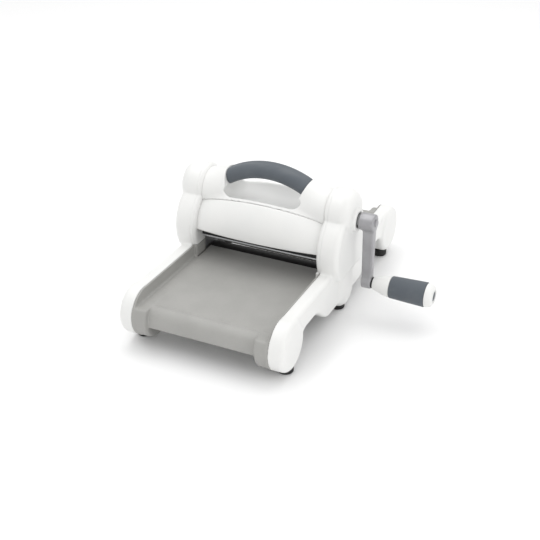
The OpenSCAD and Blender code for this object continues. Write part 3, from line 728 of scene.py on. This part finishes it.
collar = turned("handle_collar_piece", [
    (COLLAR_X0, BORE_R),
    *arc(COLLAR_X0 + 0.8, COLLAR_R - 0.8, 0.8, 180, 100, 5),
    *[(COLLAR_X0 + 1 + COLLAR_LEN * t,
       COLLAR_R + 0.1 + (SLEEVE_R0 - COLLAR_R - 0.4) * t + 0.5 * math.sin(math.pi * t))
      for t in np.linspace(0, 1, 14)],
    *arc(SLEEVE_X0 - 1.1, SLEEVE_R0 - 1.2, 0.9, 80, 0, 6),
    (SLEEVE_X0 - 0.1, TUBE_R), (SLEEVE_X1, TUBE_R), (SLEEVE_X1, BORE_R),
])
sleeve = turned("handle_sleeve_piece", [
    (SLEEVE_X0, TUBE_R + 0.05),
    *arc(SLEEVE_X0 + 1.0, SLEEVE_R0 - 1.0, 1.0, 180, 100, 6),
    *[(SLEEVE_X0 + 1.0 + SLEEVE_LEN * t,
       SLEEVE_R0 + (SLEEVE_R - SLEEVE_R0) * t + 0.1 * math.sin(math.pi * t))
      for t in np.linspace(0, 1, 24)],
    *arc(SLEEVE_X1 - 1.0, SLEEVE_R - 1.0, 1.0, 80, 0, 6),
    (SLEEVE_X1, TUBE_R + 0.05),
])
cap = turned("handle_cap_piece", [
    (SLEEVE_X1 + 0.1, 8.5), (SLEEVE_X1 + 0.1, CAP_R - 0.8),
    *arc(SLEEVE_X1 + 0.9, CAP_R - 0.8, 0.8, 180, 90, 6),
    *[(SLEEVE_X1 + 0.9 + CAP_LEN * math.sin(t),
       PLUG_R + 1.6 + (CAP_R - PLUG_R - 1.6) * math.cos(t) ** 0.8)
      for t in np.linspace(0.05, math.pi / 2 - 0.12, 16)],
    *arc(HANDLE_END - 0.6, PLUG_R + 0.8, 0.6, 60, 180, 8),
    (HANDLE_END - 3.0, PLUG_R + 0.1), (HANDLE_END - 3.6, PLUG_R + 0.1),
    (HANDLE_END - 3.6, 8.5),
])
plug = turned("handle_plug_piece", [
    (HANDLE_END - 3.0, 0.02), (HANDLE_END - 3.0, PLUG_R),
    *arc(HANDLE_END - 1.5, PLUG_R - 0.5, 0.5, 90, 0, 5),
    (HANDLE_END - 1.25, 2.5), (HANDLE_END - 1.4, 0.02),
])
white_pieces.append(stand_in(collar, "crank_handle", "white_plastic", "handle_collar"))
white_pieces.append(stand_in(cap, "crank_handle", "white_plastic", "handle_end_cap"))
rubber_pieces.append(stand_in(sleeve, "crank_handle", "grip_rubber", "handle_sleeve"))
rubber_pieces.append(stand_in(plug, "crank_handle", "grip_rubber", "handle_end_plug"))

# %% [markdown]
# ## Shader sums as Python
#
# A procedural finish is a sum of patterns. Written as nodes it takes dozens of lines, so one
# small class wraps a node's output and overloads the operators: `1 - mask * 0.2` then adds the
# Math nodes by itself. Colours are mixed with Mix nodes, since a Math node would turn them grey.

# %% A class for sockets and a class for finishes


class Value:
    """One output in a node tree, which can be used in sums."""

    def __init__(self, finish, socket):
        self.finish = finish
        self.socket = socket

    def _sum(self, operation, a, b):
        return self.finish.add("ShaderNodeMath", {"operation": operation}, {0: a, 1: b})

    def __add__(self, other):
        return self._sum("ADD", self, other)

    def __radd__(self, other):
        return self._sum("ADD", other, self)

    def __sub__(self, other):
        return self._sum("SUBTRACT", self, other)

    def __rsub__(self, other):
        return self._sum("SUBTRACT", other, self)

    def __mul__(self, other):
        return self._sum("MULTIPLY", self, other)

    def __rmul__(self, other):
        return self._sum("MULTIPLY", other, self)

    def ramp(self, low, high):
        """0 below low and 1 above high, eased between."""
        return self.finish.add("ShaderNodeMapRange", {"interpolation_type": "SMOOTHSTEP"},
                               {"Value": self, "From Min": low, "From Max": high})


class Finish:
    """A material with its node tree."""

    def __init__(self, name, constants):
        self.material = bpy.data.materials.new(name)
        self.material.use_nodes = True
        self.tree = self.material.node_tree
        self.shader = self.tree.nodes["Principled BSDF"]
        for socket, value in constants.items():
            self.shader.inputs[socket].default_value = value
        self.place = self.add("ShaderNodeTexCoord", output="Object")

    def add(self, kind, settings=None, sockets=None, output=0):
        """Adds a node: its settings first, then the values or links of its sockets."""
        node = self.tree.nodes.new(kind)
        for key, value in (settings or {}).items():
            setattr(node, key, value)
        for key, value in (sockets or {}).items():
            self.feed(node.inputs[key], value)
        return Value(self, node.outputs[output])

    def feed(self, socket, value):
        if isinstance(value, Value):
            self.tree.links.new(value.socket, socket)
        else:
            socket.default_value = value

    def noise(self, size, detail=2.0, roughness=0.5):
        """Noise whose blotches measure about `size` millimetres."""
        return self.add("ShaderNodeTexNoise", {"noise_dimensions": "3D"},
                        {"Vector": self.place, "Scale": 1 / (size * MM), "Detail": detail,
                         "Roughness": roughness})

    def mix(self, factor, a, b):
        """Colour a where factor is 0 and colour b where it is 1."""
        return self.add("ShaderNodeMix", {"data_type": "RGBA"},
                        {0: factor, 6: (*a, 1.0), 7: (*b, 1.0)}, output=2)

    def bump(self, height, depth, strength=1.0):
        """Raises the surface by height times depth millimetres."""
        normal = self.add("ShaderNodeBump", {}, {"Height": height, "Distance": depth * MM,
                                                 "Strength": strength}, output="Normal")
        self.feed(self.shader.inputs["Normal"], normal)

    def set(self, **varying):
        for socket, value in varying.items():
            self.feed(self.shader.inputs[socket.replace("_", " ")], value)

    def paint(self, *objects):
        for obj in objects:
            if not obj.material_slots:
                obj.data.materials.append(self.material)
            for slot in obj.material_slots:
                slot.material = self.material


print("a finish starts from Blender's Principled shader")

# %% [markdown]
# ## White ABS
#
# The covers are moulded in a warm white, slightly satin. Up close the gloss is never even: the
# mould's polish leaves faint long waves and handling leaves duller patches, so roughness varies
# over a few centimetres, and a very fine bump keeps reflections soft.

# %% White plastic


def white_plastic():
    f = Finish("white_abs", {"IOR": 1.5, "Coat Roughness": 0.25, "Specular IOR Level": 0.5})
    patches = f.noise(38, 3).ramp(0.35, 0.7)
    fine = f.noise(1.1, 2)
    f.set(Base_Color=f.mix(patches, (0.80, 0.80, 0.785), (0.775, 0.777, 0.765)),
          Roughness=0.36 + 0.08 * patches + 0.06 * fine, Coat_Weight=0.22 - 0.12 * patches)
    f.bump(fine * 0.6 + f.noise(14, 1) * 2.0, 0.014)
    return f


white_plastic().paint(*white_pieces)

# %% [markdown]
# ## Grey tray plastic
#
# The trays have a spark-eroded texture, a fine even pebble that hides scratches. A Voronoi cell
# pattern with a little noise gives the pebbles, and the colour is darker in the pits.

# %% Tray plastic


def tray_plastic():
    f = Finish("tray_grey", {"IOR": 1.48})
    cells = f.add("ShaderNodeTexVoronoi", {"feature": "SMOOTH_F1"},
                  {"Vector": f.place, "Scale": 1 / (0.9 * MM), "Smoothness": 0.6})
    pebble = cells.ramp(0.1, 0.75)
    patches = f.noise(30, 3).ramp(0.3, 0.75)
    f.set(Base_Color=f.mix(patches * 0.6 + pebble * 0.3, (0.372, 0.368, 0.352),
                           (0.330, 0.327, 0.312)),
          Roughness=0.40 + 0.08 * patches + 0.05 * pebble)
    f.bump(pebble + f.noise(0.5, 2) * 0.5, 0.05)
    return f


tray_plastic().paint(*tray_pieces)

# %% [markdown]
# ## Soft-touch grip
#
# The grip and the sleeve are moulded in a slate-coloured soft rubber. It scatters light widely,
# has a trace of sheen, and a fine grain that shows as a speckle in the highlights.

# %% Soft rubber


def soft_rubber():
    f = Finish("slate_soft_touch", {"IOR": 1.45, "Sheen Weight": 0.08, "Sheen Roughness": 0.5})
    grain = f.noise(0.55, 3, 0.6)
    worn = f.noise(22, 3).ramp(0.42, 0.75)
    f.set(Base_Color=f.mix(worn * 0.7 + grain * 0.3, (0.088, 0.102, 0.118), (0.110, 0.124, 0.138)),
          Roughness=0.62 - 0.10 * worn + 0.08 * grain)
    f.bump(grain, 0.06)
    return f


soft_rubber().paint(*rubber_pieces)

# %% [markdown]
# ## Metals and dark plastics
#
# The die-cast arm is painted in a satin grey with a fine metallic fleck. Turned steel carries
# rings from the lathe tool round its axis, so the noise is squeezed along X only. Plates, gears
# and zinc fixings share one recipe with other colours and grain.

# %% Metal finishes


def cast_metal():
    f = Finish("die_cast_grey", {"IOR": 1.5})
    fleck = f.noise(0.35, 2, 0.7)
    patches = f.noise(16, 3).ramp(0.35, 0.7)
    f.set(Base_Color=f.mix(patches * 0.5 + fleck * 0.5, (0.40, 0.397, 0.41), (0.335, 0.332, 0.345)),
          Metallic=0.55 + 0.25 * fleck, Roughness=0.36 + 0.1 * patches + 0.08 * fleck)
    f.bump(fleck + f.noise(3, 2) * 1.5, 0.03)
    return f


def turned_metal(name, light, dark, rough, ring=0.25):
    """Metal with fine rings round the X axis."""
    f = Finish(name, {"Metallic": 1.0})
    squeezed = f.add("ShaderNodeVectorMath", {"operation": "MULTIPLY"},
                     {0: f.place, 1: (1 / (ring * MM), 12.0, 12.0)})
    rings = f.add("ShaderNodeTexNoise", {}, {"Vector": squeezed, "Scale": 1.0, "Detail": 3.0})
    smears = f.noise(18, 3).ramp(0.4, 0.75)
    f.set(Base_Color=f.mix(rings * 0.6 + smears * 0.4, light, dark),
          Roughness=rough + 0.12 * smears + 0.1 * rings)
    f.bump(rings, 0.02)
    return f


def plain_metal(name, light, dark, rough, grain):
    """Metal with an even grain: rolled plate, plated screws, oiled gears."""
    f = Finish(name, {"Metallic": 1.0})
    speck = f.noise(grain, 3, 0.6)
    stain = f.noise(9, 4).ramp(0.4, 0.7)
    f.set(Base_Color=f.mix(speck * 0.4 + stain * 0.6, light, dark),
          Roughness=rough + 0.15 * stain + 0.08 * speck)
    f.bump(speck, 0.03)
    return f


def black_stuff(name, shade, rough):
    """Black plastic or rubber, fine grain and a little dust; painted shade on the rollers."""
    f = Finish(name, {"IOR": 1.48})
    grain = f.noise(0.6, 3)
    dust = f.noise(7, 4).ramp(0.5, 0.8)
    light = tuple(2.2 * c for c in shade)
    f.set(Base_Color=f.mix(dust * 0.6 + grain * 0.2, shade, light),
          Roughness=rough + 0.12 * dust + 0.08 * grain)
    f.bump(grain, 0.05)
    return f


METALS = {
    "machined_steel": turned_metal("turned_steel", (0.60, 0.61, 0.62), (0.46, 0.47, 0.48), 0.22),
    # The rollers are steel grey; they are painted near black so the shaded slot between them reads
    # dark: painted shade.
    "roller": black_stuff("roller_black_painted_shade", (0.020, 0.019, 0.019), 0.55),
    "plate_steel": plain_metal("rolled_plate", (0.50, 0.51, 0.52), (0.38, 0.39, 0.40), 0.38, 0.8),
    "gear_steel": plain_metal("oiled_gear", (0.42, 0.42, 0.43), (0.25, 0.24, 0.23), 0.30, 0.5),
    "zinc_fixings": plain_metal("zinc_plate", (0.66, 0.67, 0.66), (0.52, 0.53, 0.51), 0.28, 0.4),
    "bronze": plain_metal("sintered_bronze", (0.50, 0.34, 0.17), (0.36, 0.23, 0.11), 0.42, 0.3),
    "black_plastic": black_stuff("black_moulding", (0.012, 0.012, 0.013), 0.5),
    "foot_rubber": black_stuff("foot_rubber", (0.010, 0.010, 0.010), 0.62),
}
cast_metal().paint(*cast_pieces, frame["nodes"]["crank_hub_cap"])
METALS["foot_rubber"].paint(pads)
replaced = {"right_side_cover", "left_side_cover", "right_inner_panel", "left_inner_panel",
            "front_fascia", "rear_fascia", "top_housing", "front_tray", "rear_tray", "handle_grip",
            "crank_arm", "rubber_feet", "handle_collar", "handle_end_cap", "handle_sleeve",
            "handle_end_plug"}
for part in frame["record"]["subparts"]:
    name = part["node"]
    if name not in replaced and name != "crank_hub_cap":
        finish = "roller" if name in ("upper_roller", "lower_roller") else part["material_slot"]
        METALS[finish].paint(frame["nodes"][name])
print("CAD nodes with a new finish:", len(frame["nodes"]) - len(replaced))

# %% [markdown]
# ## Camera, light and floor
#
# The machine is seen from the front, turned a quarter of the way to its crank side and from a
# little above, through a long lens. It stands on a white floor under a large soft light above and
# behind, a strip above the front, a weaker light on the right and a pale sky. Most of the light
# comes from the sky, so the shadows are soft and faint.

# %% The stage


def place_camera():
    data = bpy.data.cameras.new("camera")
    data.lens = 66.58
    data.sensor_width = 36.0
    data.clip_end = 20.0
    camera = bpy.data.objects.new("camera", data)
    bpy.context.scene.collection.objects.link(camera)
    target = Vector((MID * MM, -1.1 * MM, 29.25 * MM))
    azimuth, elevation, distance = math.radians(25.33), math.radians(29.09), 1206.3 * MM
    away = Vector((math.sin(azimuth) * math.cos(elevation),
                   -math.cos(azimuth) * math.cos(elevation), math.sin(elevation)))
    camera.location = target + away * distance
    camera.rotation_euler = (-away).to_track_quat("-Z", "Y").to_euler()
    bpy.context.scene.camera = camera


def area_light(name, place, size, power, target=(0, 0, 0.08)):
    data = bpy.data.lights.new(name, "AREA")
    data.shape = "RECTANGLE"
    data.size, data.size_y = size
    data.energy = power
    light = bpy.data.objects.new(name, data)
    light.location = place
    light.rotation_euler = (Vector(target) - Vector(place)).to_track_quat("-Z", "Y").to_euler()
    bpy.context.scene.collection.objects.link(light)


def pale_floor():
    verts = [(-6000, -6000, 0), (6000, -6000, 0), (6000, 6000, 0), (-6000, 6000, 0)]
    floor = to_object("floor", verts, [(0, 1, 2, 3)], smooth=False)
    f = Finish("floor_paper", {"Specular IOR Level": 0.2})
    fibre = f.noise(4, 3)
    f.set(Base_Color=f.mix(fibre, (0.93, 0.93, 0.93), (0.91, 0.91, 0.91)),
          Roughness=0.75 + 0.1 * fibre)
    f.paint(floor)


place_camera()
pale_floor()
area_light("key_above", (0.1, 0.65, 1.75), (1.8, 1.3), 8.5)
area_light("fill_right", (1.9, -0.7, 0.9), (1.2, 1.2), 6)
area_light("strip_above", (-0.6, -0.2, 1.45), (1.6, 0.4), 5)
world = bpy.data.worlds.new("sky")
world.use_nodes = True
world.node_tree.nodes["Background"].inputs["Color"].default_value = (1.0, 1.0, 1.0, 1.0)
world.node_tree.nodes["Background"].inputs["Strength"].default_value = 0.88
bpy.context.scene.world = world
bpy.context.scene.view_settings.view_transform = "Standard"
